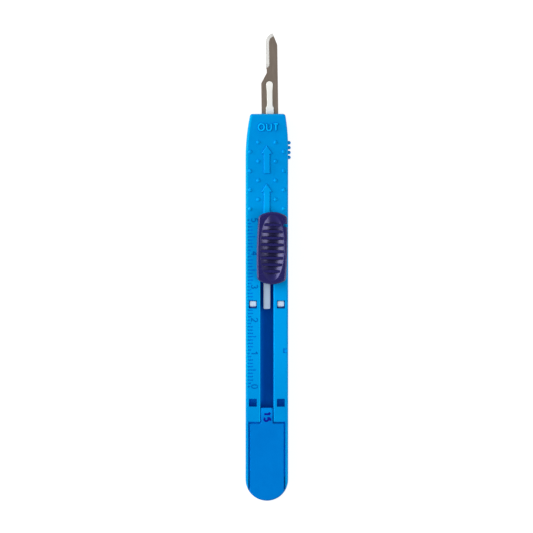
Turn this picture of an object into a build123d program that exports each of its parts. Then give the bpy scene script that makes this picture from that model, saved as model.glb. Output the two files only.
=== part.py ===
from build123d import *
import math
import os

# A disposable scalpel whose blade slides back into its handle, drawn with the blade out.
# Millimetres. X points to the blade's blunt side, Y to its tip, Z up from the flat underside.
# The origin is the middle of the handle's underside.

# Handle: a flat sleeve with a floor, two side walls, a slotted deck and a nose
handle_width = 12.8
handle_height = 7.0
floor_wall = 1.2
deck_wall = 1.5
side_wall = 0.85
edge_round = 0.7
underside_bevel = 0.5
nose_corner = 0.8
edge_taper_length = 13.1
edge_taper_inset = 1.42
spine_taper_length = 10.1
spine_taper_inset = 0.91
throat_length = 11.1
throat_round = 0.5
throat_clearance = 0.35

# Lengths along the handle, from the throat back to the rear end
travel = 29.5
carrier_length = 36.7
tail_length = 10.5
tab_length = 4.7
panel_length = 23.2
nose_gap = 0.3
stop_gap = 0.2
slide_clearance = 0.15

# Deck: the slot, the catch windows and their hidden tracks
slot_width = 4.0
slot_edge_bevel = 0.3
slot_mouth_round = 0.5
slot_end_round = 0.9
key_end_clearance = 0.35
window_side = 2.35
window_offset = 4.2
catch_gap = 0.2
track_clearance = 0.1

# Marks that stand up from the deck or are sunk in it
mark_height = 0.35
mark_draft = 30
mark_root = 0.05
bump_diameter = 1.25
bump_sides = 12
bump_shoulder = 0.2
bump_crown = 0.02
bump_rows = 8
bump_pitch = 2.86
bump_inner = 2.58
bump_outer = 5.06
bump_first_back = 8.56
arrow_tip_back = 9.4
arrow_pitch = 11.48
arrow_head_width = 3.7
arrow_head_length = 2.7
arrow_stem_width = 2.0
arrow_length = 8.63
arrow_end_gap = 0.8
ruler_zero_back = 81.96
tick_count = 51
tick_pitch = 1.0
tick_width = 0.3
tick_depth = 0.25
tick_start = 0.65
tick_long = 2.5
tick_short = 1.55
tick_beside_digit = 1.05
tick_at_digit = 0.6
notch_back = 71.15
notch_side = 1.25
notch_reach = 1.45
notch_depth = 0.25

# Finger ribs on the spine side
rib_count = 4
rib_pitch = 1.465
rib_width = 1.05
rib_reach = 0.78
rib_first_back = 8.66
rib_end_margin = 1.0
rib_bevel = 0.3

# End plug
panel_side_gap = 0.3
panel_front_gap = 0.35
panel_drop = 0.05
panel_thickness = 1.2
panel_edge_bevel = 0.3
plug_clearance = 0.05
tab_side_gap = 0.2
tab_corner = 0.35
tab_root_round = 0.45
tongue_length = 3.6
tongue_clearance = 0.1
plug_wall = 1.3
snap_reach = 0.3
snap_length = 3.0
snap_height = 1.6
snap_back = 9.5

# Blade and the fitting that carries it
blade_offset = 0.925
blade_lean = 0.75
blade_reach = 24.26
blade_length = 36.0
blade_width = 5.0
blade_thickness = 0.4
blade_level = 3.4
blade_end_slant = 2.6
tip_from_spine = 1.36
clip_length = 3.56
clip_round = 0.4
belly_length = 2.71
edge_from_spine = 3.485
heel_back = 10.36
heel_step = 0.6
choil_from_spine = 3.31
choil_back = 11.92
shoulder_back = 15.02
grind_width = 0.97
grind_run_out = 0.97
grind_over = 0.3
belly_sweep = 115
edge_thickness = 0.02
fitting_front_back = 14.3
bulb_width = 2.25
neck_width = 1.9
heel_width = 2.6
bulb_back = 15.4
neck_front_back = 18.0
neck_rear_back = 21.8
heel_front_back = 22.4
fitting_rear_margin = 4.3
fitting_clearance = 0.1
boss_stand = 0.35
boss_bevel = 0.12

# Carrier moulding
beam_width = 4.0
beam_thickness = 1.5
beam_lead = 0.95
beam_round = 1.8
carrier_plate = 1.5
carrier_rail = 1.2
carrier_rib = 1.2
carrier_head = 6.5
carrier_corner = 0.8
blade_pocket_clearance = 0.12
arm_width = 1.6
arm_length = 10.0
arm_thickness = 1.0
arm_root = 1.6
peg_offset = 4.16
peg_width = 1.95
peg_length = 1.6
peg_margin = 0.2
peg_round = 0.3
peg_top_drop = 0.4
peg_ramp = 0.25
tail_width = 2.0
tail_height = 1.8
tail_top_drop = 1.5
tail_round = 0.3

# Thumb slider and the key that carries it
slider_width = 9.2
slider_end_width = 8.6
slider_length = 21.76
slider_straight = 19.0
slider_corner = 1.3
slider_height = 3.0
slider_clearance = 0.1
slider_offset = 1.6
slider_skew = -1.2
slider_from_rear = 7.75
slider_round = 0.6
scoop_width = 7.4
scoop_length = 20.0
scoop_depth = 1.35
grip_count = 8
grip_pitch = 2.0
grip_base = 1.2
grip_top = 0.75
grip_drop = 0.08
grip_round = 0.18
grip_root = 0.2
side_notch_width = 0.95
side_notch_depth = 1.4
side_notch_front = 6.85
key_width = 3.5
key_length = 14.0
key_round = 0.9
stud_width = 2.4
stud_length = 12.0
stud_height = 0.9
stud_clearance = 0.08

# How far a cut runs past the face that it opens, and how near counts as the same place
over = 1.0
same = 0.01

# Places that follow from the sizes above
handle_length = (throat_length + nose_gap + carrier_length + tail_length
                 + travel + stop_gap + tab_length + panel_length)
nose_y = handle_length / 2
rear_y = -handle_length / 2
half_width = handle_width / 2
cavity_half = half_width - side_wall
cavity_front_y = nose_y - throat_length
ceiling = handle_height - deck_wall
carrier_front_y = cavity_front_y - nose_gap
carrier_rear_y = carrier_front_y - carrier_length
carrier_bottom = floor_wall + slide_clearance
carrier_top = ceiling - slide_clearance
carrier_half = cavity_half - slide_clearance
tail_end_y = carrier_rear_y - tail_length
tab_front_y = tail_end_y - travel - stop_gap
panel_front_y = tab_front_y - tab_length
deck_rear_y = panel_front_y + panel_front_gap
arm_end_y = carrier_rear_y - arm_length
peg_front_y = arm_end_y + peg_margin + peg_length
peg_top = handle_height - peg_top_drop
tail_top = handle_height - tail_top_drop
front_window_y = peg_front_y + catch_gap - window_side / 2
slider_y = carrier_rear_y + slider_from_rear
key_front_y = slider_y + key_length / 2
slot_front_y = key_front_y + key_end_clearance
slider_bottom = handle_height + mark_height + slider_clearance
blade_place = Location((blade_offset, nose_y, 0), (0, 0, blade_lean)) * Pos(0, blade_reach, 0)


def block(x_range, y_range, z_range):
    """A square block between two places on each axis."""
    size = [top - bottom for bottom, top in (x_range, y_range, z_range)]
    middle = [(top + bottom) / 2 for bottom, top in (x_range, y_range, z_range)]
    return Pos(*middle) * Box(*size)


def raise_up(sketch, z_range, taper=0):
    """A flat outline carried up from one height to another."""
    bottom, top = z_range
    return extrude(Pos(0, 0, bottom) * sketch, top - bottom, dir=(0, 0, 1), taper=taper)


def strip(half, rear, front):
    """A flat strip along the middle line, from one place to another."""
    return Pos(0, (rear + front) / 2) * Rectangle(2 * half, front - rear)


def radius_of_dip(half_chord, depth):
    """Radius of the arc that dips by one depth over one half chord."""
    return (half_chord**2 + depth**2) / (2 * depth)


def corners_at(sketch, x_size, y_place):
    """The corners of an outline that lie at one distance from the middle and one place along it."""
    return [
        corner
        for corner in sketch.vertices()
        if abs(abs(corner.X) - x_size) < same and abs(corner.Y - y_place) < same
    ]


def handle_outline():
    """Plan of the handle: a square nose, a gentle taper on each side and a round rear end."""
    side_end_y = rear_y + half_width
    edge_side = Line((-half_width, side_end_y), (-half_width, nose_y - edge_taper_length))
    edge_taper = TangentArc(edge_side @ 1, (edge_taper_inset - half_width, nose_y), tangent=(0, 1))
    spine_side = Line((half_width, side_end_y), (half_width, nose_y - spine_taper_length))
    spine_taper = TangentArc(spine_side @ 1, (half_width - spine_taper_inset, nose_y), tangent=(0, 1))
    nose = Line(edge_taper @ 1, spine_taper @ 1)
    rear = ThreePointArc(spine_side @ 0, (0, rear_y), edge_side @ 0)
    outline = make_face([edge_side, edge_taper, nose, spine_taper, spine_side, rear])
    return fillet(outline.vertices().group_by(Axis.Y)[-1], nose_corner)


def rounded_handle():
    """The handle's outer form: rounded all round its top and bevelled below."""
    solid = raise_up(handle_outline(), (0, handle_height))
    solid = fillet(solid.faces().sort_by(Axis.Z)[-1].edges(), edge_round)
    return chamfer(solid.faces().sort_by(Axis.Z)[0].edges(), underside_bevel)


def deck_opening():
    """The slot with its rounded front end, flared into the open top behind the deck."""
    slot_half = slot_width / 2
    slot = strip(slot_half, deck_rear_y - over, slot_front_y)
    slot = fillet(corners_at(slot, slot_half, slot_front_y), slot_end_round)
    opening = slot + strip(cavity_half, rear_y - over, deck_rear_y)
    return fillet(corners_at(opening, slot_half, deck_rear_y), slot_mouth_round)


def window_centres():
    """Where the four catch windows are: a pair for each end of the travel."""
    return [
        (side * window_offset, front_window_y - shift)
        for side in (-1, 1)
        for shift in (0, travel)
    ]


def catch_windows():
    """The four square windows through the deck."""
    half = window_side / 2
    return [
        block((x - half, x + half), (y - half, y + half), (ceiling - over, handle_height + over))
        for x, y in window_centres()
    ]


def peg_tracks():
    """Two shallow tracks under the deck, in which the pegs pass from window to window."""
    half = window_side / 2
    reach = (front_window_y - travel, front_window_y)
    top = peg_top + track_clearance
    return [
        block((x - half, x + half), reach, (ceiling - slide_clearance, top))
        for x in (-window_offset, window_offset)
    ]


def throat():
    """The passage through the nose, just larger than the blade and the beam under it."""
    sway = blade_reach * math.sin(math.radians(blade_lean)) / 2
    half = blade_width / 2 + throat_clearance + sway
    bottom = blade_level - beam_thickness - throat_clearance
    top = blade_level + blade_thickness + boss_stand + throat_clearance
    passage = block(
        (blade_offset - half, blade_offset + half),
        (cavity_front_y - over, nose_y + over),
        (bottom, top),
    )
    return fillet(passage.edges().filter_by(Axis.Y), throat_round)


def bump_dome():
    """One bump: a low dome in three many-sided rings, on a foot that lies inside the deck."""
    radius = bump_diameter / 2
    ball = radius_of_dip(radius, mark_height)
    ball_centre = mark_height - ball
    rings = [(radius, -mark_root)]
    for height in (0, bump_shoulder, mark_height - bump_crown):
        rings.append((math.sqrt(ball**2 - (height - ball_centre) ** 2), height))
    return loft(
        [
            Pos(0, 0, handle_height + height) * RegularPolygon(size, bump_sides)
            for size, height in rings
        ],
        ruled=True,
    )


def grip_bumps():
    """Low round bumps in alternate rows, near the middle and near the edges."""
    dome = bump_dome()
    bumps = []
    for row in range(bump_rows):
        offset = bump_outer if row % 2 else bump_inner
        y = nose_y - bump_first_back - row * bump_pitch
        bumps += [Pos(x, y) * dome for x in (-offset, offset)]
    return bumps


def arrow(tip_y, stem_end_y):
    """A low raised arrow that points the way to push."""
    head_half = arrow_head_width / 2
    stem_half = arrow_stem_width / 2
    head_y = tip_y - arrow_head_length
    outline = make_face(
        Polyline(
            (0, tip_y),
            (-head_half, head_y),
            (-stem_half, head_y),
            (-stem_half, stem_end_y),
            (stem_half, stem_end_y),
            (stem_half, head_y),
            (head_half, head_y),
            close=True,
        )
    )
    return raise_up(outline, (handle_height - mark_root, handle_height + mark_height), mark_draft)


def arrows():
    """The two arrows: a short one, and one whose stem runs on to the slot."""
    first_tip = nose_y - arrow_tip_back
    second_tip = first_tip - arrow_pitch
    return [
        arrow(first_tip, first_tip - arrow_length),
        arrow(second_tip, slot_front_y + arrow_end_gap),
    ]


def finger_ribs():
    """Short rounded ribs on the spine side, where the first finger rests."""
    embed = side_wall / 2
    rib = Pos((rib_reach - embed) / 2, 0) * SlotOverall(rib_reach + embed, rib_width)
    rib = raise_up(rib, (rib_end_margin, handle_height - rib_end_margin))
    faces = rib.faces().sort_by(Axis.Z)
    rib = chamfer(faces[0].edges() + faces[-1].edges(), rib_bevel)
    return [
        Pos(half_width, nose_y - rib_first_back - number * rib_pitch) * rib
        for number in range(rib_count)
    ]


def tick_length(step):
    """How far a millimetre line of the rule runs: short by a digit, long at half a centimetre."""
    from_digit = min(step % 10, 10 - step % 10)
    if from_digit == 0:
        return tick_at_digit
    if from_digit == 1:
        return tick_beside_digit
    if from_digit == 5:
        return tick_long
    return tick_short


def ruler_ticks():
    """The sunk lines of the rule along the deck's edge, one each millimetre."""
    start = tick_start - half_width
    zero_y = nose_y - ruler_zero_back
    level = (handle_height - tick_depth, handle_height + over)
    ticks = []
    for step in range(tick_count):
        y = zero_y + step * tick_pitch
        line = (y - tick_width / 2, y + tick_width / 2)
        ticks.append(block((start, start + tick_length(step)), line, level))
    return ticks


def edge_notch():
    """A small sunk mark at the spine side's edge."""
    y = nose_y - notch_back
    return block(
        (half_width - notch_reach, half_width + over),
        (y - notch_side / 2, y + notch_side / 2),
        (handle_height - notch_depth, handle_height + over),
    )


def snap_ridges(grow):
    """The two ridges that hold the plug, or with some growth the grooves that take them."""
    y = panel_front_y - snap_back
    reach = snap_reach + grow
    ridge = Wedge(
        snap_length + 2 * grow, reach, snap_height + 2 * grow,
        reach, reach, snap_length - snap_reach, snap_height - snap_reach,
    )
    middle = (floor_wall + handle_height - panel_thickness) / 2
    wall_face = cavity_half - plug_clearance
    ridges = []
    for side in (-1, 1):
        turn = Location((side * (wall_face + reach / 2), y, middle), (0, 0, -90 * side))
        ridges.append(turn * ridge)
    return ridges


def make_handle_body():
    """The one-piece sleeve, closed at the nose but for the throat and open at the rear."""
    body = rounded_handle()
    cavity = block(
        (-cavity_half, cavity_half),
        (rear_y - over, cavity_front_y),
        (floor_wall, ceiling),
    )
    body = body - cavity
    body = body - raise_up(deck_opening(), (ceiling - over, handle_height + over))
    top_edges = body.faces().sort_by(Axis.Z)[-1].edges()
    slot_edges = top_edges.filter_by(lambda edge: edge.center().Y > deck_rear_y - same)
    slot_edges = slot_edges.filter_by(lambda edge: abs(edge.center().X) < cavity_half - same)
    slot_edges = slot_edges.filter_by(lambda edge: edge.center().Y < slot_front_y + same)
    body = chamfer(slot_edges, slot_edge_bevel)
    body = body + arrows() + grip_bumps() + finger_ribs()
    body = body - (catch_windows() + peg_tracks() + ruler_ticks() + [edge_notch(), throat()])
    return body - snap_ridges(plug_clearance)


def make_end_plug():
    """The plug: a lid panel, a core that fills the channel, a tongue and the slot's tab."""
    outline = handle_outline()
    core_half = cavity_half - plug_clearance
    panel_half = cavity_half - panel_side_gap
    panel_top = handle_height - panel_drop
    panel_bottom = handle_height - panel_thickness
    tab_half = slot_width / 2 - tab_side_gap
    core = raise_up(outline, (floor_wall, panel_bottom))
    core = core & block((-core_half, core_half), (rear_y - over, panel_front_y), (0, handle_height))
    panel_sheet = strip(panel_half, rear_y - over, panel_front_y)
    tab_sheet = strip(tab_half, panel_front_y - over, tab_front_y)
    tab_sheet = fillet(corners_at(tab_sheet, tab_half, tab_front_y), tab_corner)
    lid_sheet = panel_sheet + tab_sheet
    lid_sheet = fillet(corners_at(lid_sheet, tab_half, panel_front_y), tab_root_round)
    lid = raise_up(lid_sheet & outline, (panel_bottom, panel_top))
    lid = chamfer(lid.faces().sort_by(Axis.Z)[-1].edges(), panel_edge_bevel)
    tongue_half = cavity_half - tongue_clearance
    tongue = block(
        (-tongue_half, tongue_half),
        (panel_front_y - over, panel_front_y + tongue_length),
        (floor_wall + tongue_clearance, ceiling - tongue_clearance),
    )
    tab_foot = block(
        (-tab_half, tab_half),
        (panel_front_y, tab_front_y),
        (floor_wall + tongue_clearance, panel_bottom),
    )
    tab_foot = fillet(tab_foot.edges().filter_by(Axis.Z).group_by(Axis.Y)[-1], tab_corner)
    plug = core + lid + tongue + tab_foot + snap_ridges(0)
    return plug - plug_hollows(panel_bottom)


def plug_hollows(roof):
    """Two pockets cored out of the plug from below, with a rib between them."""
    half = cavity_half - plug_clearance - plug_wall
    rear_end = rear_y + half_width
    front_end = panel_front_y
    length = (front_end - rear_end - plug_wall) / 2
    return [
        block((-half, half), (start, start + length), (floor_wall - over, roof - plug_wall))
        for start in (rear_end, front_end - length)
    ]


def blade_outline():
    """Plan of the blade, its tip at Y = 0: the curved edge faces -X and the spine +X."""
    spine = blade_width / 2
    edge = spine - edge_from_spine
    choil = spine - choil_from_spine
    tip = (spine - tip_from_spine, 0)
    belly = TangentArc((edge, -belly_length), tip, tangent=(0, 1))
    rest = Polyline(
        tip,
        (spine, -clip_length),
        (spine, -blade_length),
        (-spine, blade_end_slant - blade_length),
        (-spine, -shoulder_back),
        (choil, -choil_back),
        (choil, -heel_back - heel_step),
        (edge, -heel_back),
        (edge, -belly_length),
    )
    outline = make_face([belly, rest])
    corner = outline.vertices().sort_by_distance((spine, -clip_length))[0]
    return fillet(corner, clip_round)


def fitting_outline(shrink):
    """The long keyhole of the blade's fitting, or the boss inside it when shrunk."""
    bulb = bulb_width / 2 - shrink
    neck = neck_width / 2 - shrink
    heel = heel_width / 2 - shrink
    end = shrink + fitting_rear_margin - blade_length
    front = -fitting_front_back - shrink
    right = [
        Spline((bulb, -bulb_back), (neck, -neck_front_back), tangents=((0, -1), (0, -1))),
        Line((neck, -neck_front_back), (neck, -neck_rear_back)),
        Line((neck, -neck_rear_back), (heel, -heel_front_back)),
        Line((heel, -heel_front_back), (heel, end + heel)),
    ]
    left = [mirror(curve, about=Plane.YZ) for curve in right]
    nose = ThreePointArc((-bulb, -bulb_back), (0, front), (bulb, -bulb_back))
    tail = ThreePointArc((-heel, end + heel), (0, end), (heel, end + heel))
    return make_face(right + left + [nose, tail])


def grinds():
    """What the wheel takes off each face: along the edge, round the belly and out at the heel."""
    edge = blade_width / 2 - edge_from_spine
    reach = blade_width / 2 - tip_from_spine - edge
    belly_radius = radius_of_dip(belly_length, reach)
    half = blade_thickness / 2
    fall = half - edge_thickness / 2
    top = half + grind_over
    low = half - fall * (1 + grind_over / grind_width)
    inner = [(grind_width, top), (grind_width, half)]
    section = make_face(Polyline(*inner, (-grind_over, low), (-grind_over, top), close=True))
    run_out = make_face(Polyline(*inner, (0, half - fall), (0, top), close=True))
    heel_y = grind_run_out - heel_back
    upright = Plane(origin=(edge, heel_y, 0), x_dir=(1, 0, 0), z_dir=(0, -1, 0))
    straight = extrude(upright * section, -belly_length - heel_y, dir=(0, 1, 0))
    belly_start = Plane(origin=(edge, -belly_length, 0), x_dir=(1, 0, 0), z_dir=(0, -1, 0))
    belly_axis = Axis((edge + belly_radius, -belly_length, 0), (0, 0, -1))
    belly = revolve(belly_start * section, belly_axis, belly_sweep)
    heel = revolve(upright * run_out, Axis((edge, heel_y, 0), (0, 0, -1)), 90)
    upper = [straight, belly, heel]
    return upper + [mirror(cut, about=Plane.XY) for cut in upper]


def make_blade():
    """The steel blade, flat ground on both faces of its cutting edge."""
    half = blade_thickness / 2
    blade = raise_up(blade_outline(), (-half, half))
    blade = blade - raise_up(fitting_outline(0), (-over, over))
    blade = blade - grinds()
    return blade_place * Pos(0, 0, blade_level + half) * blade


def carrier_hollows():
    """Pockets between the carrier's rails and its middle rib, open to the top."""
    inner = carrier_half - carrier_rail
    rib_half = carrier_rib / 2
    rear = carrier_rear_y + arm_root
    front = carrier_front_y - carrier_head
    key_room = key_width / 2 + carrier_rib
    level = (carrier_bottom + carrier_plate, carrier_top + over)
    pockets = []
    for side in (-1, 1):
        by_key = sorted((side * inner, side * key_room))
        by_rib = sorted((side * inner, side * rib_half))
        pockets.append(block(by_key, (rear, key_front_y), level))
        pockets.append(block(by_rib, (key_front_y + carrier_rib, front), level))
    return pockets


def spring_arms():
    """Two thin arms behind the carrier, each with a peg that clicks into a window."""
    arms = []
    for side in (-1, 1):
        x = side * peg_offset
        arm = block(
            (x - arm_width / 2, x + arm_width / 2),
            (arm_end_y, carrier_rear_y + arm_root),
            (carrier_top - arm_thickness, carrier_top),
        )
        peg = block(
            (x - peg_width / 2, x + peg_width / 2),
            (peg_front_y - peg_length, peg_front_y),
            (carrier_top - arm_thickness / 2, peg_top),
        )
        peg = chamfer(peg.faces().sort_by(Axis.Z)[-1].edges().sort_by(Axis.Y)[0], peg_ramp)
        arms += [arm, fillet(peg.edges().filter_by(Axis.Z), peg_round)]
    return arms


def beam():
    """The tongue under the blade, with the boss that fills the blade's keyhole."""
    front = beam_lead - fitting_front_back
    rear = carrier_front_y - carrier_head / 2 - nose_y - blade_reach
    sheet = strip(beam_width / 2, rear, front)
    sheet = fillet(sheet.vertices().group_by(Axis.Y)[-1], beam_round)
    tongue = raise_up(sheet, (blade_level - beam_thickness, blade_level))
    boss_top = blade_level + blade_thickness + boss_stand
    boss = raise_up(fitting_outline(fitting_clearance), (blade_level - beam_thickness / 2, boss_top))
    boss = chamfer(boss.faces().sort_by(Axis.Z)[-1].edges(), boss_bevel)
    return blade_place * tongue, blade_place * boss


def make_blade_carrier():
    """The white carrier: a cored block with the beam in front and arms and tail behind."""
    level = (carrier_bottom, carrier_top)
    frame = block((-carrier_half, carrier_half), (carrier_rear_y, carrier_front_y), level)
    frame = fillet(frame.edges().filter_by(Axis.Z).group_by(Axis.Y)[-1], carrier_corner)
    frame = frame - carrier_hollows()
    pocket = offset(blade_outline(), blade_pocket_clearance)
    frame = frame - blade_place * raise_up(pocket, (blade_level, carrier_top + over))
    tongue, boss = beam()
    tail = block(
        (-tail_width / 2, tail_width / 2),
        (tail_end_y, carrier_rear_y + arm_root),
        (tail_top - tail_height, tail_top),
    )
    tail = fillet(tail.edges().filter_by(Axis.Z).group_by(Axis.Y)[0], tail_round)
    key_range = (key_front_y - key_length, key_front_y)
    key = block((-key_width / 2, key_width / 2), key_range, (carrier_bottom, slider_bottom))
    key = fillet(key.edges().filter_by(Axis.Z), key_round)
    return frame + tongue + boss + tail + key + stud(0) + spring_arms()


def stud(grow):
    """The stud on the key that presses into the slider, or with some growth its socket."""
    width = stud_width + 2 * grow
    length = stud_length + 2 * grow
    sheet = Pos(0, slider_y) * SlotOverall(length, width, rotation=90)
    return raise_up(sheet, (slider_bottom - grow, slider_bottom + stud_height + grow))


def slider_outline():
    """Plan of the slider: slightly bowed sides and ends with rounded corners."""
    corner_x = slider_end_width / 2
    corner_y = slider_straight / 2
    side_x = slider_width / 2
    end_y = slider_length / 2
    curves = [
        ThreePointArc((corner_x, -corner_y), (side_x, 0), (corner_x, corner_y)),
        ThreePointArc((corner_x, corner_y), (0, end_y), (-corner_x, corner_y)),
        ThreePointArc((-corner_x, corner_y), (-side_x, 0), (-corner_x, -corner_y)),
        ThreePointArc((-corner_x, -corner_y), (0, -end_y), (corner_x, -corner_y)),
    ]
    outline = make_face(curves)
    return fillet(outline.vertices(), slider_corner)


def scoop():
    """A ring whose lowest part cuts the long hollow for the thumb, round across and along."""
    across = radius_of_dip(scoop_width / 2, scoop_depth)
    along = radius_of_dip(scoop_length / 2, scoop_depth)
    ring_height = slider_height - scoop_depth + along
    ring = Plane(
        origin=(0, 0, ring_height + along - across),
        x_dir=(0, 0, -1),
        z_dir=(0, 1, 0),
    )
    return revolve(ring * Circle(across), Axis((0, 0, ring_height), (1, 0, 0)), 360)


def thumb_grips():
    """Cross ribs in the scoop, narrower at the top, that die out where the hollow rises."""
    bottom = slider_height - scoop_depth - grip_root
    top = slider_height - grip_drop
    section = make_face(
        Polyline(
            (-grip_base / 2, bottom),
            (grip_base / 2, bottom),
            (grip_top / 2, top),
            (-grip_top / 2, top),
            close=True,
        )
    )
    section = fillet(section.vertices().group_by(Axis.Y)[-1], grip_round)
    across = Plane(origin=(0, 0, 0), x_dir=(0, 1, 0), z_dir=(1, 0, 0))
    rib = extrude(across * section, scoop_width / 2, both=True)
    start = -(grip_count - 1) * grip_pitch / 2
    return [Pos(0, start + number * grip_pitch) * rib for number in range(grip_count)]


def make_thumb_slider():
    """The thumb slider: a scooped and ribbed pad with a small notch in one side."""
    pad = raise_up(slider_outline(), (0, slider_height))
    pad = fillet(pad.faces().sort_by(Axis.Z)[-1].edges(), slider_round)
    hollow = scoop()
    inside = hollow & pad
    pad = pad - hollow + [rib & inside for rib in thumb_grips()]
    notch_x = slider_width / 2 - side_notch_depth
    notch_sheet = Pos(notch_x + slider_width / 2, side_notch_front) * SlotOverall(
        slider_width, side_notch_width
    )
    pad = pad - raise_up(notch_sheet, (-over, slider_height + over))
    place = Location((slider_offset, slider_y, slider_bottom), (0, 0, slider_skew))
    return place * pad - stud(stud_clearance)


def main():
    """Write one file for each piece."""
    os.makedirs("parts", exist_ok=True)
    pieces = {
        "handle_body": make_handle_body(),
        "end_plug": make_end_plug(),
        "blade_carrier": make_blade_carrier(),
        "thumb_slider": make_thumb_slider(),
        "blade": make_blade(),
    }
    for name, piece in pieces.items():
        export_step(piece, f"parts/{name}.step")
        print(name, round(piece.volume, 2), piece.is_valid)


main()
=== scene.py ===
import math

import bpy
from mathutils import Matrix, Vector


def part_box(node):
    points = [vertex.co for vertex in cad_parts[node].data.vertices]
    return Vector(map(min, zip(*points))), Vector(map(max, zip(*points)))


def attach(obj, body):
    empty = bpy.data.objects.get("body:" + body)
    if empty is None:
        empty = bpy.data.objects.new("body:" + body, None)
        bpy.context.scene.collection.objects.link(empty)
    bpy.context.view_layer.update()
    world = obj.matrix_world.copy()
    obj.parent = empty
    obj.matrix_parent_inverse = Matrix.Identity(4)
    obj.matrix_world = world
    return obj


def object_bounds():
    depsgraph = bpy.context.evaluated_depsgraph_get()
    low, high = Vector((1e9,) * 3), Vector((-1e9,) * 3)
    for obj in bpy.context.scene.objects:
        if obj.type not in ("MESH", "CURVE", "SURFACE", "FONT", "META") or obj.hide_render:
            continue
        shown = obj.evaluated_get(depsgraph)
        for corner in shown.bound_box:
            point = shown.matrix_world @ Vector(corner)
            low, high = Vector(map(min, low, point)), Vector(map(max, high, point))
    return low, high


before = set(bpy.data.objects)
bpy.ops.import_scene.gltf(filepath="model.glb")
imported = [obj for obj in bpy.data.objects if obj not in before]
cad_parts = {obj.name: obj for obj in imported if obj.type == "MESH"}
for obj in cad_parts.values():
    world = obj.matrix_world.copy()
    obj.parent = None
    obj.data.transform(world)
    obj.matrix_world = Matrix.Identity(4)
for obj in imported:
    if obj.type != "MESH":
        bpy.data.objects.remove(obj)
cad_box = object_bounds()
mm = 0.001


# Handle. One injection moulding in mid blue plastic: a flat sleeve with a slotted lid, an open
# nose for the blade and a rounded rear. The mould is polished, so it is smooth with a soft gloss.
class Wire:
    """An output of a shader node that takes part in sums as a number does."""

    def __init__(self, source):
        self.source = source

    def sum_node(self, operation, first, second):
        made = self.source.id_data.nodes.new("ShaderNodeMath")
        made.operation = operation
        for socket, value in zip(made.inputs, (first, second)):
            connect(socket, value)
        return Wire(made.outputs[0])

    def __add__(self, other):
        return self.sum_node("ADD", self, other)

    def __radd__(self, other):
        return self.sum_node("ADD", other, self)

    def __sub__(self, other):
        return self.sum_node("SUBTRACT", self, other)

    def __rsub__(self, other):
        return self.sum_node("SUBTRACT", other, self)

    def __mul__(self, other):
        return self.sum_node("MULTIPLY", self, other)

    def __rmul__(self, other):
        return self.sum_node("MULTIPLY", other, self)


def connect(socket, value):
    """Gives an input socket its link, or its fixed number or colour."""
    if isinstance(value, Wire):
        socket.id_data.links.new(value.source, socket)
    else:
        socket.default_value = value


class Recipe:
    """The nodes of one material or of the world."""

    def __init__(self, owner):
        owner.use_nodes = True
        self.owner = owner
        self.tree = owner.node_tree
        self.tree.nodes.clear()

    def node(self, kind, settings=None, inputs=None, output=0):
        """Adds a node: its settings first, then the values or links of its sockets."""
        made = self.tree.nodes.new(kind)
        for name, value in (settings or {}).items():
            if name == "stops":
                set_stops(made.color_ramp, value)
            else:
                setattr(made, name, value)
        for name, value in (inputs or {}).items():
            connect(made.inputs[name], value)
        return Wire(made.outputs[output])

    def noise(self, place, size, detail=2.0):
        """Cloudy values from 0 to 1 whose patches are about the given size."""
        return self.node(
            "ShaderNodeTexNoise",
            {"noise_dimensions": "3D"},
            {"Vector": place, "Scale": 1 / size, "Detail": detail, "Roughness": 0.5},
            "Fac",
        )

    def tint(self, amount, dark, light):
        """A colour between two others. The Mix node's colours are sockets 6 and 7, output 2."""
        settings = {"data_type": "RGBA", "blend_type": "MIX", "clamp_factor": True}
        return self.node("ShaderNodeMix", settings, {0: amount, 6: dark, 7: light}, 2)

    def step(self, value, threshold, width):
        """Goes from 0 to 1 as a value passes a threshold, over the given width."""
        limits = {"Value": value, "From Min": threshold, "From Max": threshold + width}
        return self.node("ShaderNodeMapRange", {"interpolation_type": "SMOOTHSTEP"}, limits)

    def between(self, value, rise, fall):
        """Rises from 0 to 1 and falls again: each change has its threshold and its width."""
        return self.step(value, *rise) * (1 - self.step(value, *fall))

    def parts(self, vector):
        """The three numbers of a vector."""
        made = self.node("ShaderNodeSeparateXYZ", None, {"Vector": vector}).source.node
        return [Wire(made.outputs[axis]) for axis in "XYZ"]

    def size(self, value):
        """A value without its sign."""
        return self.node("ShaderNodeMath", {"operation": "ABSOLUTE"}, {0: value})

    def close(self, shader, kind="ShaderNodeOutputMaterial"):
        """Ends the recipe at its output node."""
        end = self.tree.nodes.new(kind)
        connect(end.inputs["Surface"], shader)
        return self.owner


def set_stops(ramp, stops):
    """Gives a colour ramp its stops, each a place and a grey or a colour."""
    while len(ramp.elements) < len(stops):
        ramp.elements.new(0.5)
    for element, (position, colour) in zip(ramp.elements, stops):
        element.position = position
        element.color = colour if isinstance(colour, tuple) else (colour, colour, colour, 1)


def paint(red, green, blue):
    """A colour chip's 0 to 255 values as light values."""
    chips = [chip / 255 for chip in (red, green, blue)]
    light = [chip / 12.92 if chip <= 0.04045 else ((chip + 0.055) / 1.055) ** 2.4 for chip in chips]
    return (*light, 1)


no_glow = (0, 0, 0, 1)


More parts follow.
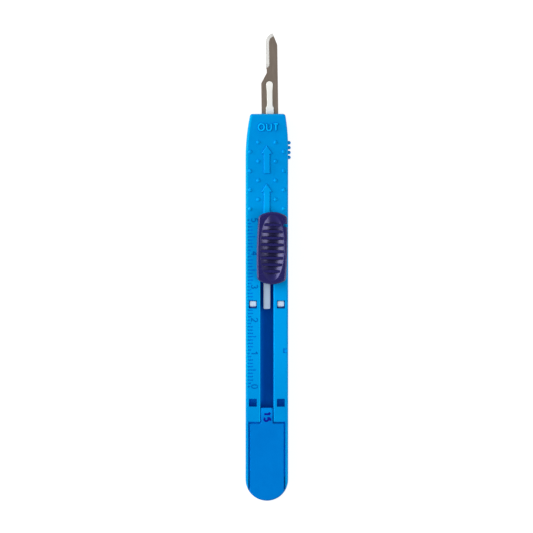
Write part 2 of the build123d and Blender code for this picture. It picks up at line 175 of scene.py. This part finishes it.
def moulded_plastic(name, dark, light, roughness, shine, gleam, dress=None):
    """Smooth moulded plastic: slow flow clouds in its colour, fine grain, softly rounded edges.

    A piece whose colour changes from place to place gives a dress, which makes of the plain colour
    the one to show, with painted light and shade, and the faint painted glow given as emission."""
    flow_size = 7 * mm
    smear_size = 1.6 * mm
    grain_size = 0.09 * mm
    grain_depth = 0.02 * mm
    edge_radius = 0.12 * mm
    recipe = Recipe(bpy.data.materials.new(name))
    place = recipe.node("ShaderNodeTexCoord", output="Object")
    flow = recipe.noise(place, flow_size, 3.0)
    smears = recipe.noise(place, smear_size)
    grain = recipe.noise(place, grain_size)
    clouds = flow * 0.7 + smears * 0.3
    colour = recipe.tint(clouds * 2.4 - 0.7, dark, light)
    glow = no_glow
    if dress:
        colour, glow = dress(recipe, place, colour)
    rough = roughness + (smears - 0.5) * 0.14
    soft = recipe.node("ShaderNodeBevel", {"samples": 4}, {"Radius": edge_radius})
    skin = smears * 0.6 + grain * 0.25
    normal = recipe.node(
        "ShaderNodeBump", None,
        {"Strength": 0.25, "Distance": grain_depth, "Height": skin, "Normal": soft},
    )
    return recipe.close(recipe.node(
        "ShaderNodeBsdfPrincipled", None,
        {
            "Base Color": colour, "Roughness": rough, "Normal": normal,
            "Specular IOR Level": shine, "Specular Tint": gleam,
            "Emission Color": glow, "Emission Strength": 1.0,
        },
    ))


def wear(name, material):
    """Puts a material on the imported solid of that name."""
    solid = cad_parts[name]
    if not solid.material_slots:
        solid.data.materials.append(material)
    for slot in solid.material_slots:
        slot.material = material


handle_low, handle_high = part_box("handle_body")
plug_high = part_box("end_plug")[1]
nose_y = handle_high[1]
rear_y = handle_low[1]
tab_y = plug_high[1]
slot_front_y = nose_y - 33 * mm
notch_y = nose_y - 71.15 * mm
cavity_front_y = nose_y - 11.1 * mm
half_width = -handle_low[0]
cavity_half = half_width - 0.85 * mm
mark_height = 0.35 * mm
deck_level = handle_high[2] - mark_height
floor_top = 1.2 * mm
blue_gleam = (0, 0.65, 0.4, 1)


def creases(recipe, reach):
    """How shut in a place is, from 0 on an open face to about 1 at the foot of a small step: the
    share of painted shade that a place gets.
    """
    open_sky = recipe.node("ShaderNodeAmbientOcclusion", {"samples": 8}, {"Distance": reach}, "AO")
    return (1 - open_sky) * 2.2


def hollow(recipe, place, colour):
    """Painted shade below the lid: a deeper, darker blue there, and a faint painted glow given as
    emission.

    The painted shade is darkest in the front half and by the tab, and paler at the left. The
    painted glow is stronger at the seam on the right of the rear lid."""
    across, along, height = recipe.parts(place)
    above_floor = (floor_top - 0.1 * mm, 0.05 * mm)
    into_lid = (deck_level - 1.1 * mm, 0.6 * mm)
    from_rear = (rear_y + 7.1 * mm, 0.5 * mm)
    to_front = (cavity_front_y - 0.02 * mm, 0.04 * mm)
    at_wall = recipe.step(recipe.size(across), cavity_half + 0.02 * mm, 0.02 * mm)
    inside = recipe.between(height, above_floor, into_lid)
    inside = inside * recipe.between(along, from_rear, to_front) * (1 - at_wall)
    by_tab = recipe.between(along, (tab_y - 0.8 * mm, 0.1 * mm), (tab_y - 0.2 * mm, 2.8 * mm))
    dim = recipe.step(along, -2 * mm, 3 * mm) + by_tab
    at_left = 1 - recipe.step(across, -1.9 * mm, 1.4 * mm)
    at_seam = recipe.step(across, half_width - 1.5 * mm, 0.1 * mm)
    at_seam = at_seam * (1 - recipe.step(along, tab_y - 3.4 * mm, 0.1 * mm))
    shaded_blue = recipe.tint(at_left, paint(0, 112, 200), paint(0, 142, 224))
    shaded_blue = recipe.tint(dim, shaded_blue, paint(0, 90, 176))
    glow = recipe.tint(at_left, (0, 0.002, 0.055, 1), (0, 0.004, 0.08, 1))
    glow = recipe.tint(dim, glow, (0, 0.001, 0.035, 1))
    glow = recipe.tint(at_seam, glow, (0, 0.03, 0.16, 1))
    return recipe.tint(inside, colour, shaded_blue), recipe.tint(inside, no_glow, glow)


def from_side(recipe, outward, along, bow_length, bow_depth):
    """How far inside the handle's side a place lies: the side bows in towards the nose."""
    past = recipe.node(
        "ShaderNodeMath", {"operation": "MAXIMUM"}, {0: along - (nose_y - bow_length), 1: 0.0}
    )
    return half_width - past * past * (bow_depth / bow_length**2) - outward


def sides(recipe, across, along, colour):
    """Painted light and shade on the lid's rounded edges: paler bands at the left and the right,
    and a left edge whose blue is deeper towards the rear.
    """
    from_left = from_side(recipe, 0 - across, along, bow_length=13.1 * mm, bow_depth=1.42 * mm)
    from_right = from_side(recipe, across, along, bow_length=10.1 * mm, bow_depth=0.91 * mm)
    left_band = 1 - recipe.step(from_left, 0.5 * mm, 0.5 * mm)
    left_band = left_band * recipe.step(along, -35 * mm, 20 * mm)
    left_edge = 1 - recipe.step(from_left, 0.3 * mm, 0.25 * mm)
    right_edge = 1 - recipe.step(from_right, 0.35 * mm, 0.4 * mm)
    toward_nose = recipe.step(along, -40 * mm, 25 * mm)
    edge_blue = recipe.tint(toward_nose, paint(0, 128, 196), paint(0, 148, 204))
    colour = recipe.tint(left_band, colour, paint(0, 158, 216))
    colour = recipe.tint(left_edge, colour, edge_blue)
    return recipe.tint(right_edge, colour, paint(0, 150, 232))


def slot_rim(recipe, across, along, height):
    """The bevel at the slot's left rim, which is given a painted glow."""
    rim = recipe.between(across, (-2.35 * mm, 0.05 * mm), (-1.6 * mm, 0.1 * mm))
    rim = rim * recipe.step(height, deck_level - 0.34 * mm, 0.06 * mm)
    rim = rim * (1 - recipe.step(height, deck_level - 0.04 * mm, 0.03 * mm))
    return rim * (1 - recipe.step(along, slot_front_y + 0.9 * mm, 1 * mm))


def sunk_marks(recipe, across, height):
    """The rule's lines and the notch, which are sunk in the lid near its sides, and which are given
    a faint painted glow.
    """
    low = (deck_level - 0.3 * mm, 0.03 * mm)
    high = (deck_level - 0.07 * mm, 0.04 * mm)
    near_side = recipe.between(recipe.size(across), (3.1 * mm, 0.05 * mm), (5.8 * mm, 0.05 * mm))
    return near_side * recipe.between(height, low, high)


def handle_dress(recipe, place, plain):
    """Painted light and shade: paler along the middle of the lid, on its marks' tops, its sides and
    nose edge, darker at the marks' feet and in the notch, and the painted shade below the lid.

    A faint painted glow, given as emission, is added at the slot's rim and in the sunk marks."""
    across, along, height = recipe.parts(place)
    # Paler along the middle of the lid: painted light.
    mid_lid = recipe.between(along, (-32 * mm, 22 * mm), (22 * mm, 20 * mm))
    colour = sides(recipe, across, along, recipe.tint(mid_lid, plain, paint(0, 150, 228)))
    on_deck = recipe.step(height, deck_level - 0.05 * mm, 0.03 * mm)
    notch_rear = (notch_y - 0.85 * mm, 0.05 * mm)
    notch_front = (notch_y + 0.8 * mm, 0.05 * mm)
    at_notch = recipe.between(along, notch_rear, notch_front) * (1 - on_deck)
    at_notch = at_notch * recipe.step(across, half_width - 1.6 * mm, 0.05 * mm)
    # Painted shade at the feet of the raised marks and in the notch, from ambient occlusion.
    foot_shade = creases(recipe, 0.45 * mm) * (on_deck * 0.85 + at_notch * 0.55 + 0.15)
    colour = recipe.tint(foot_shade, colour, paint(0, 98, 196))
    # The tops of the raised marks are paler: painted light.
    raised = recipe.step(height, deck_level + 0.04 * mm, 0.08 * mm)
    lit_mark = recipe.tint(mid_lid, paint(0, 145, 224), paint(0, 166, 240))
    colour = recipe.tint(raised, colour, lit_mark)
    # A paler front edge at the nose: painted light.
    nose_edge = recipe.step(along, nose_y - 0.8 * mm, 0.4 * mm)
    colour = recipe.tint(nose_edge, colour, paint(0, 146, 218))
    colour, glow = hollow(recipe, place, colour)
    # A faint painted glow, given as emission, at the slot's left rim and in the sunk marks.
    glow = recipe.tint(slot_rim(recipe, across, along, height), glow, (0, 0.2, 0.31, 1))
    return colour, recipe.tint(sunk_marks(recipe, across, height), glow, (0, 0, 0.1, 1))


handle_blue = moulded_plastic(
    "handle_blue", paint(0, 133, 212), paint(0, 142, 219),
    roughness=0.36, shine=0.5, gleam=blue_gleam, dress=handle_dress,
)
wear("handle_body", handle_blue)


# The word OUT by the nose. It is part of the handle's moulding, in low flat-topped strokes that
# stand up from the lid, and it tells which way to push the slider.
def bend(middle, width, height, start, end):
    """Points round an arc of an oval, from one angle to another in degrees."""
    count = max(4, round(abs(end - start) / 12))
    angles = [math.radians(start + (end - start) * step / count) for step in range(count + 1)]
    return [
        (middle[0] + width / 2 * math.cos(angle), middle[1] + height / 2 * math.sin(angle))
        for angle in angles
    ]


# Each letter has its width and its strokes, as shares of its height.
letter_shapes = {
    "O": (0.88, [bend((0.44, 0.5), 0.88, 1, 90, 450)]),
    "U": (0.70, [[(0, 1)] + bend((0.35, 0.35), 0.7, 0.7, 180, 360) + [(0.7, 1)]]),
    "T": (0.66, [[(0, 1), (0.66, 1)], [(0.33, 1), (0.33, 0)]]),
    "0": (0.56, [bend((0.28, 0.5), 0.56, 1, 90, 450)]),
    "1": (0.56, [[(0.06, 0.74), (0.34, 1)], [(0.34, 1), (0.34, 0)]]),
    "2": (0.56, [bend((0.28, 0.71), 0.54, 0.58, 165, -35) + [(0, 0)], [(0, 0), (0.56, 0)]]),
    "3": (0.56, [
        bend((0.27, 0.76), 0.46, 0.48, 150, -90),
        bend((0.27, 0.26), 0.54, 0.52, 90, -155),
    ]),
    "4": (0.56, [[(0.44, 0), (0.44, 1)], [(0.44, 1), (0, 0.3)], [(0, 0.3), (0.6, 0.3)]]),
    "5": (0.56, [
        [(0.52, 1), (0.08, 1)], [(0.08, 1), (0.05, 0.5)], bend((0.27, 0.33), 0.56, 0.66, 130, -145),
    ]),
}


def write(name, text, height, gap, pen, thickness, material):
    """Draws a word in flat-topped strokes on a face: its lower left corner is at the origin.

    Each stroke of a letter lies a hair above the one before, so that no two tops coincide."""
    curve = bpy.data.curves.new(name, "CURVE")
    curve.dimensions = "3D"
    curve.bevel_depth = pen / 2
    curve.bevel_resolution = 4
    curve.use_fill_caps = True
    curve.bevel_mode = "PROFILE"
    shoulder = curve.bevel_profile.points.add(0.7, 0.96)
    shoulder.handle_type_1 = shoulder.handle_type_2 = "VECTOR"
    tall = height - pen
    left = pen / 2
    flatness = 2 * thickness / pen
    step_up = 0.0015 * mm / flatness
    for letter in text:
        width, strokes = letter_shapes[letter]
        for rank, stroke in enumerate(strokes):
            spline = curve.splines.new("POLY")
            closed = math.dist(stroke[0], stroke[-1]) < 0.01
            points = stroke[:-1] if closed else stroke
            spline.points.add(len(points) - 1)
            spline.use_cyclic_u = closed
            for point, (x, y) in zip(spline.points, points):
                point.co = (left + x * tall, pen / 2 + y * tall, rank * step_up, 1)
        left += width * tall + pen + gap
    word = bpy.data.objects.new(name, curve)
    bpy.context.scene.collection.objects.link(word)
    word.scale = (1, 1, flatness)
    curve.materials.append(material)
    return word


def word_dress(recipe, place, plain):
    """Paler on the tops of the strokes: painted light."""
    height = recipe.parts(place)[2]
    top = recipe.step(height, 0.08 * mm, 0.08 * mm)
    return recipe.tint(top, plain, paint(0, 172, 246)), no_glow


word_blue = moulded_plastic(
    "word_blue", paint(0, 138, 218), paint(0, 146, 225),
    roughness=0.36, shine=0.5, gleam=blue_gleam, dress=word_dress,
)
out_word = write(
    "word_out", "OUT", height=2.5 * mm, gap=0.2 * mm, pen=0.52 * mm, thickness=0.34 * mm,
    material=word_blue,
)
out_word.location = (-2.76 * mm, nose_y - 5.26 * mm, deck_level)
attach(out_word, "handle")


# Numbers 0 to 5 beside the rule on the lid. They are sunk in the moulding like its lines; here each
# is a very thin stroke of darker blue laid on the lid, which paints the shade of that depth. They
# read from the spine side, so each one is turned a quarter to the right.
sunk_shade_blue = moulded_plastic(
    "sunk_shade_blue", paint(0, 104, 198), paint(0, 112, 205),
    roughness=0.5, shine=0.2, gleam=blue_gleam,
)
quarter_turn = -math.pi / 2
rule_zero_y = nose_y - 81.96 * mm
rule_step = 10 * mm
number_foot_x = -4.83 * mm
number_lead = 0.75 * mm
for number in range(6):
    digit = write(
        f"rule_number_{number}", str(number), height=2.2 * mm, gap=0, pen=0.34 * mm,
        thickness=0.01 * mm, material=sunk_shade_blue,
    )
    digit.rotation_euler = (0, 0, quarter_turn)
    line_y = rule_zero_y + number * rule_step
    digit.location = (number_foot_x, line_y + number_lead, deck_level)
    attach(digit, "handle")


# End plug. A second moulding in a deeper blue that closes the rear of the handle: its lid lies
# in the open rear of the sleeve, and its tab fills the end of the slot.
def plug_dress(recipe, place, plain):
    """Paler on the tab, which is painted light, and the painted shade and glow below the lid."""
    on_tab = recipe.step(recipe.parts(place)[1], tab_y - 3.3 * mm, 2.5 * mm)
    return hollow(recipe, place, recipe.tint(on_tab, plain, paint(0, 132, 221)))


plug_blue = moulded_plastic(
    "plug_blue", paint(0, 111, 201), paint(0, 118, 208),
    roughness=0.36, shine=0.5, gleam=blue_gleam, dress=plug_dress,
)
wear("end_plug", plug_blue)


# The blade's shape number on the tab. It is pad printed in dark blue ink, in a film a few
# thousandths of a millimetre thick, and it reads the same way as the rule's numbers.
def flat_ink(name, colour):
    """Printed ink: a thin matt film with a little unevenness."""
    recipe = Recipe(bpy.data.materials.new(name))
    place = recipe.node("ShaderNodeTexCoord", output="Object")
    patch = recipe.noise(place, 0.25 * mm)
    shade = recipe.tint(patch, colour, paint(0, 24, 150))
    rough = 0.5 + (patch - 0.5) * 0.2
    shader = recipe.node(
        "ShaderNodeBsdfPrincipled", None,
        {"Base Color": shade, "Roughness": rough, "Specular IOR Level": 0.1},
    )
    return recipe.close(shader)


ink = flat_ink("print_ink", paint(0, 12, 138))
shape_number = write(
    "shape_number", "15", height=2.4 * mm, gap=0.06 * mm, pen=0.62 * mm, thickness=0.006 * mm,
    material=ink,
)
shape_number.rotation_euler = (0, 0, quarter_turn)
shape_number.location = (-1.07 * mm, tab_y - 1 * mm, plug_high[2])
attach(shape_number, "handle")


# Blade carrier. A white moulding, of a tough slippery plastic, that runs inside the sleeve: the
# blade clips on its boss in front, and its two sprung arms click into the windows.
def carrier_dress(recipe, place, plain):
    """Painted light: bluish inside the sleeve, as if lit by its blue walls, darker on the low tail
    than on the pegs, and a warm painted reflection of the steel on the boss's edge.
    """
    boss_top = 4.15 * mm
    tail_top = deck_level - 1.5 * mm
    along, height = recipe.parts(place)[1:]
    in_front = recipe.step(along, cavity_front_y - 0.9 * mm, 2 * mm)
    on_boss = recipe.step(height, boss_top - 0.13 * mm, 0.08 * mm)
    front = recipe.tint(on_boss, paint(206, 198, 172), plain)
    on_pegs = recipe.step(height, tail_top + 0.2 * mm, 0.3 * mm)
    within = recipe.tint(on_pegs, paint(180, 200, 220), paint(199, 219, 238))
    return recipe.tint(in_front, within, front), no_glow


white_gleam = (1, 1, 1, 1)
carrier_white = moulded_plastic(
    "carrier_white", paint(228, 228, 223), paint(238, 238, 234),
    roughness=0.45, shine=0.4, gleam=white_gleam, dress=carrier_dress,
)
wear("blade_carrier", carrier_white)


# Thumb slider. A dark purple moulding pressed on the carrier's key, with a hollow for the thumb
# and cross ribs in it. It is glossier than the handle.
def slider_dress(recipe, place, plain):
    """Darker between the ribs and in other shut-in places: painted shade."""
    return recipe.tint(creases(recipe, 0.9 * mm), plain, paint(4, 3, 44)), no_glow


purple_gleam = (0.62, 0.6, 1.0, 1)
slider_purple = moulded_plastic(
    "slider_purple", paint(20, 17, 80), paint(25, 21, 90),
    roughness=0.26, shine=1.0, gleam=purple_gleam, dress=slider_dress,
)
wear("thumb_slider", slider_purple)


# Blade. Hardened strip steel, rolled and dark on its faces, with fine lines along it, and
# ground bright on both sides of its cutting edge. Its slot clips over the carrier's boss.
def blade_steel():
    """Dark rolled faces and bright ground ones, told apart by how the face leans."""
    recipe = Recipe(bpy.data.materials.new("blade_steel"))
    place = recipe.node("ShaderNodeTexCoord", output="Object")
    facing = recipe.node("ShaderNodeTexCoord", output="Normal")
    level = recipe.size(recipe.parts(facing)[2])
    ground = recipe.node(
        "ShaderNodeValToRGB", {"stops": [(0.985, 1.0), (0.995, 0.0)]}, {"Fac": level}
    )
    along = recipe.node(
        "ShaderNodeVectorMath", {"operation": "MULTIPLY"}, {0: place, 1: (1.0, 0.03, 1.0)}
    )
    across = recipe.node(
        "ShaderNodeVectorMath", {"operation": "MULTIPLY"}, {0: place, 1: (0.05, 1.0, 1.0)}
    )
    rolled = recipe.noise(along, 0.12 * mm, 3.0)
    stone = recipe.noise(across, 0.1 * mm, 3.0)
    bloom = recipe.noise(place, 2.5 * mm, 3.0)
    face = recipe.tint(rolled * 0.6 + bloom * 0.4, paint(200, 183, 167), paint(232, 213, 196))
    bright = recipe.tint(stone * 2 - 0.5, paint(195, 194, 190), paint(235, 235, 232))
    colour = recipe.tint(ground, face, bright)
    rough = 0.32 + (rolled - 0.5) * 0.16 + ground * 0.1
    metal = 1 - ground * 0.6
    lines = rolled * (1 - ground) + stone * ground
    normal = recipe.node(
        "ShaderNodeBump", None, {"Strength": 0.12, "Distance": 0.01 * mm, "Height": lines}
    )
    shader = recipe.node(
        "ShaderNodeBsdfPrincipled", None,
        {"Base Color": colour, "Roughness": rough, "Metallic": metal, "Normal": normal},
    )
    return recipe.close(shader)


wear("blade", blade_steel())


# Floor. The scalpel lies on a wide sheet of white paper, which the camera sees as plain white
# but for the shadow.
def paper():
    """White paper that stays white to the eye and still takes the shadow."""
    recipe = Recipe(bpy.data.materials.new("paper"))
    seen = recipe.node("ShaderNodeLightPath", output="Is Camera Ray")
    mirrored = recipe.node("ShaderNodeLightPath", output="Is Glossy Ray")
    passed = recipe.node("ShaderNodeLightPath", output="Is Transmission Ray")
    glow = (seen + mirrored + passed) * 0.83
    lit = recipe.node("ShaderNodeBsdfDiffuse", None, {"Color": paint(150, 150, 150)})
    own = recipe.node("ShaderNodeEmission", None, {"Color": (1, 1, 1, 1), "Strength": glow})
    return recipe.close(recipe.node("ShaderNodeAddShader", None, {0: lit, 1: own}))


floor_half = 4.0
sheet = bpy.data.meshes.new("floor")
corners = [(x * floor_half, y * floor_half, 0) for x, y in ((-1, -1), (1, -1), (1, 1), (-1, 1))]
sheet.from_pydata(corners, [], [(0, 1, 2, 3)])
floor = bpy.data.objects.new("floor", sheet)
floor.location.z = cad_box[0][2] - 0.02 * mm
sheet.materials.append(paper())
bpy.context.scene.collection.objects.link(floor)


# Room. Pale all round, with a dim patch straight above where the camera hangs, so that the
# blade's flat faces look dark and its ground ones bright.
def room():
    """The light that comes from all round."""
    recipe = Recipe(bpy.data.worlds.new("room"))
    seen = recipe.node("ShaderNodeLightPath", output="Is Camera Ray")
    mirrored = recipe.node("ShaderNodeLightPath", output="Is Glossy Ray")
    toward = recipe.node("ShaderNodeTexCoord", output="Generated")
    height = recipe.parts(toward)[2]
    ceiling = recipe.node(
        "ShaderNodeValToRGB", {"stops": [(0.8, 1.0), (0.93, 0.43)]}, {"Fac": height}
    )
    ambient = 0.47
    mirror_level = ceiling * 0.4
    strength = seen + (1 - seen) * (mirrored * mirror_level + (1 - mirrored) * ambient)
    glow = recipe.node("ShaderNodeBackground", None, {"Color": (1, 1, 1, 1), "Strength": strength})
    return recipe.close(glow, "ShaderNodeOutputWorld")


bpy.context.scene.world = room()


# Lamps. A wide softbox at the left with a strip light just above the floor under it, which
# brings out the marks and shows no image of itself in the gloss, and a smaller softbox at the
# right, which is weaker.
def softbox(name, bearing, rise, distance, width, height, watts):
    """A softbox that faces the handle's middle, placed by its bearing and its rise in degrees."""
    light = bpy.data.lights.new(name, "AREA")
    light.shape = "RECTANGLE"
    light.size = width
    light.size_y = height
    light.energy = watts
    lamp = bpy.data.objects.new(name, light)
    around, up = math.radians(bearing), math.radians(rise)
    back = Vector((math.cos(around) * math.cos(up), math.sin(around) * math.cos(up), math.sin(up)))
    lamp.location = back * distance
    lamp.rotation_mode = "QUATERNION"
    lamp.rotation_quaternion = back.to_track_quat("Z", "Y")
    lamp.visible_camera = False
    bpy.context.scene.collection.objects.link(lamp)
    return lamp


softbox("softbox_left", 162, 36, distance=0.8, width=0.7, height=0.5, watts=4.15)
strip = softbox("strip_left", 165, 9, distance=0.8, width=0.6, height=0.12, watts=4.2)
strip.visible_glossy = False
softbox("softbox_right", -20, 44, distance=0.8, width=0.4, height=0.5, watts=2.1)


# Camera. It hangs three metres above the lid and looks straight down, with the blade to the
# top, so that hardly any of the sides shows.
picture_width = 160.06 * mm
picture_middle = (-0.11 * mm, 12.24 * mm)
camera_rise = 3.0
camera_data = bpy.data.cameras.new("camera")
camera_data.lens = camera_data.sensor_width * camera_rise / picture_width
camera = bpy.data.objects.new("camera", camera_data)
camera.location = (*picture_middle, deck_level + camera_rise)
camera_data.clip_start, camera_data.clip_end = 0.1, 20.0
bpy.context.scene.collection.objects.link(camera)
bpy.context.scene.camera = camera
bpy.context.scene.view_settings.view_transform = "Standard"
